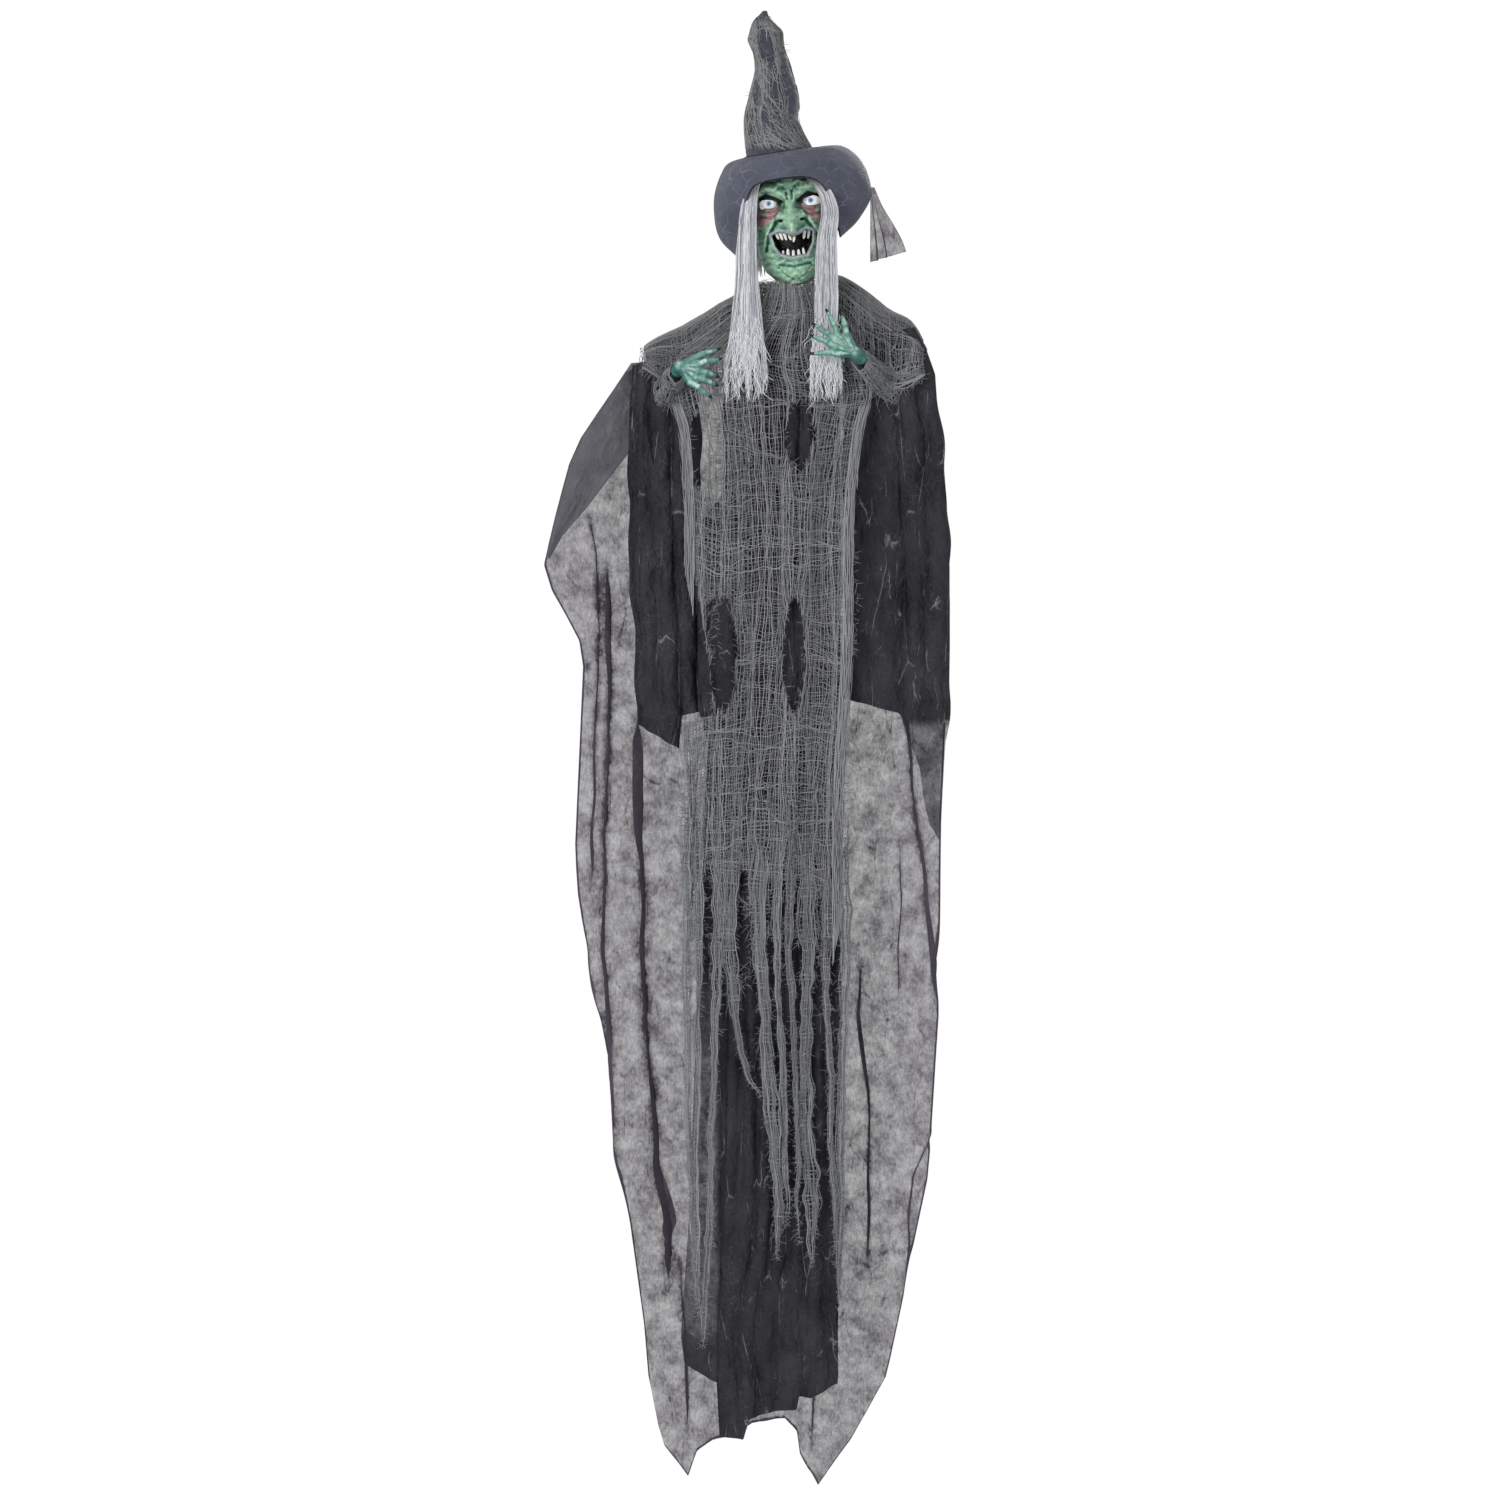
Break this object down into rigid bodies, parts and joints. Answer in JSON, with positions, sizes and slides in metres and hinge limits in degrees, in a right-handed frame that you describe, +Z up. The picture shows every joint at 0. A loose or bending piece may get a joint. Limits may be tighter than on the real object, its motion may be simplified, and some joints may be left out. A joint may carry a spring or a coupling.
{
  "type": "hanging animated witch figure",
  "caption": "Life-size hanging witch with crooked hat, painted mask, grey hair, gauze and sheer robes on an animated torso with a turning head.",
  "frame": {"origin": "centre of the hole in the steel hanger plate at the figure's back", "axes": "+Z up, the figure faces -Y, +X is to the right seen from the front"},
  "size_m": [0.5872, 0.2319, 2.135],
  "materials": {
    "steel": "zinc plated, slightly worn",
    "case_plastic": "fine spark texture",
    "grey_plastic": "moulded",
    "gear_plastic": "acetal",
    "bronze": "sintered",
    "red_plastic": "moulded",
    "board": "solder mask",
    "battery": "wrapped cell",
    "speaker_black": "cone and basket",
    "sensor_lens": "frosted",
    "wire": "insulated",
    "black_cloth": "crinkled nonwoven",
    "hat_cloth": "slate grey satin",
    "sheer_cloth": "sheer nonwoven",
    "gauze": "open woven, frayed",
    "padding": "foam under gauze",
    "hair": "grey synthetic fibre",
    "mask_skin": "painted, washed with darker teal",
    "hand_skin": "painted, washed with darker teal",
    "eye_white": "glossy",
    "tooth": "stained",
    "mouth_lining": "dark",
    "lamp": "clear"
  },
  "bodies": {
    "torso": {"hanger_plate": "steel", "hanger_screws": "steel", "case_back": "case_plastic", "case_front": "case_plastic", "case_screws": "steel", "batteries": "battery", "gear_motor": "steel", "motor_gearbox": "grey_plastic", "neck_bushes": "bronze", "speaker": "speaker_black", "circuit_board": "board", "motion_sensor": "sensor_lens", "wire_harness": "wire", "shoulder_tube_left": "steel", "shoulder_tube_right": "steel", "shoulder_block_left": "grey_plastic", "shoulder_block_right": "grey_plastic", "neck_collar": "padding", "neck_wrap": "gauze", "cowl_left": "gauze", "cowl_right": "gauze", "gauze_front": "gauze", "gauze_strips_left": "gauze", "gauze_strips_centre": "gauze", "gauze_strips_right": "gauze", "robe_front": "black_cloth", "cape_back": "sheer_cloth", "cape_left": "sheer_cloth", "cape_right": "sheer_cloth", "sleeve_left": "black_cloth", "sleeve_right": "black_cloth", "hair_tress_left": "hair", "hair_tress_right": "hair"},
    "drive_gear": {"drive_gear": "gear_plastic"},
    "head": {"neck_shaft": "steel", "neck_gear": "gear_plastic", "head_bracket": "grey_plastic", "skull_shell": "case_plastic", "face_mask": "mask_skin", "eye_left": "eye_white", "eye_right": "eye_white", "eye_leds": "lamp", "teeth": "tooth", "mouth_liner": "mouth_lining", "hair_left": "hair", "hair_right": "hair", "hair_back": "hair", "hat_crown": "hat_cloth", "hat_gauze": "gauze", "hat_brim": "hat_cloth", "hat_tail": "sheer_cloth"},
    "arm_left": {"arm_rod_left": "steel", "arm_gauze_left": "gauze"},
    "arm_right": {"arm_rod_right": "steel", "arm_gauze_right": "gauze"},
    "hand_left": {"hand_left": "hand_skin"},
    "hand_right": {"hand_right": "hand_skin"},
    "battery_door": {"battery_door": "case_plastic"},
    "power_switch": {"power_switch_knob": "red_plastic"},
    "test_button": {"test_button": "red_plastic"}
  },
  "joints": [
    {"name": "head_turn", "type": "hinge", "parent": "torso", "child": "head", "pos_m": [0, -0.046, 0], "axis": [0, 0, 1], "range_deg": [-35, 35]},
    {"name": "drive_gear_spin", "type": "hinge", "parent": "torso", "child": "drive_gear", "pos_m": [-0.042, -0.046, -0.058], "axis": [0, 0, 1], "range_deg": [-90, 90]},
    {"name": "arm_swing_left", "type": "hinge", "parent": "torso", "child": "arm_left", "pos_m": [-0.18, -0.038, -0.082], "axis": [0, 0, 1], "range_deg": [-20, 0]},
    {"name": "arm_swing_right", "type": "hinge", "parent": "torso", "child": "arm_right", "pos_m": [0.18, -0.038, -0.082], "axis": [0, 0, 1], "range_deg": [0, 20]},
    {"name": "hand_swivel_left", "type": "hinge", "parent": "arm_left", "child": "hand_left", "pos_m": [-0.155, -0.141, -0.104], "axis": [0.2233, -0.9202, 0.3216], "range_deg": [-30, 30]},
    {"name": "hand_swivel_right", "type": "hinge", "parent": "arm_right", "child": "hand_right", "pos_m": [0.109, -0.141, -0.086], "axis": [-0.5211, -0.7559, 0.3963], "range_deg": [-30, 30]},
    {"name": "battery_door_slide", "type": "slide", "parent": "torso", "child": "battery_door", "axis": [1, 0, 0], "range_m": [0, 0.06]},
    {"name": "power_switch_slide", "type": "slide", "parent": "torso", "child": "power_switch", "axis": [1, 0, 0], "range_m": [0, 0.004]},
    {"name": "test_button_press", "type": "slide", "parent": "torso", "child": "test_button", "axis": [0, 1, 0], "range_m": [0, 0.0015], "stiffness_N_per_m": 300, "springref_m": -0.0005}
  ],
  "couplings": [
    {"joint": "drive_gear_spin", "follows": "head_turn", "ratio": -2.5}
  ]
}
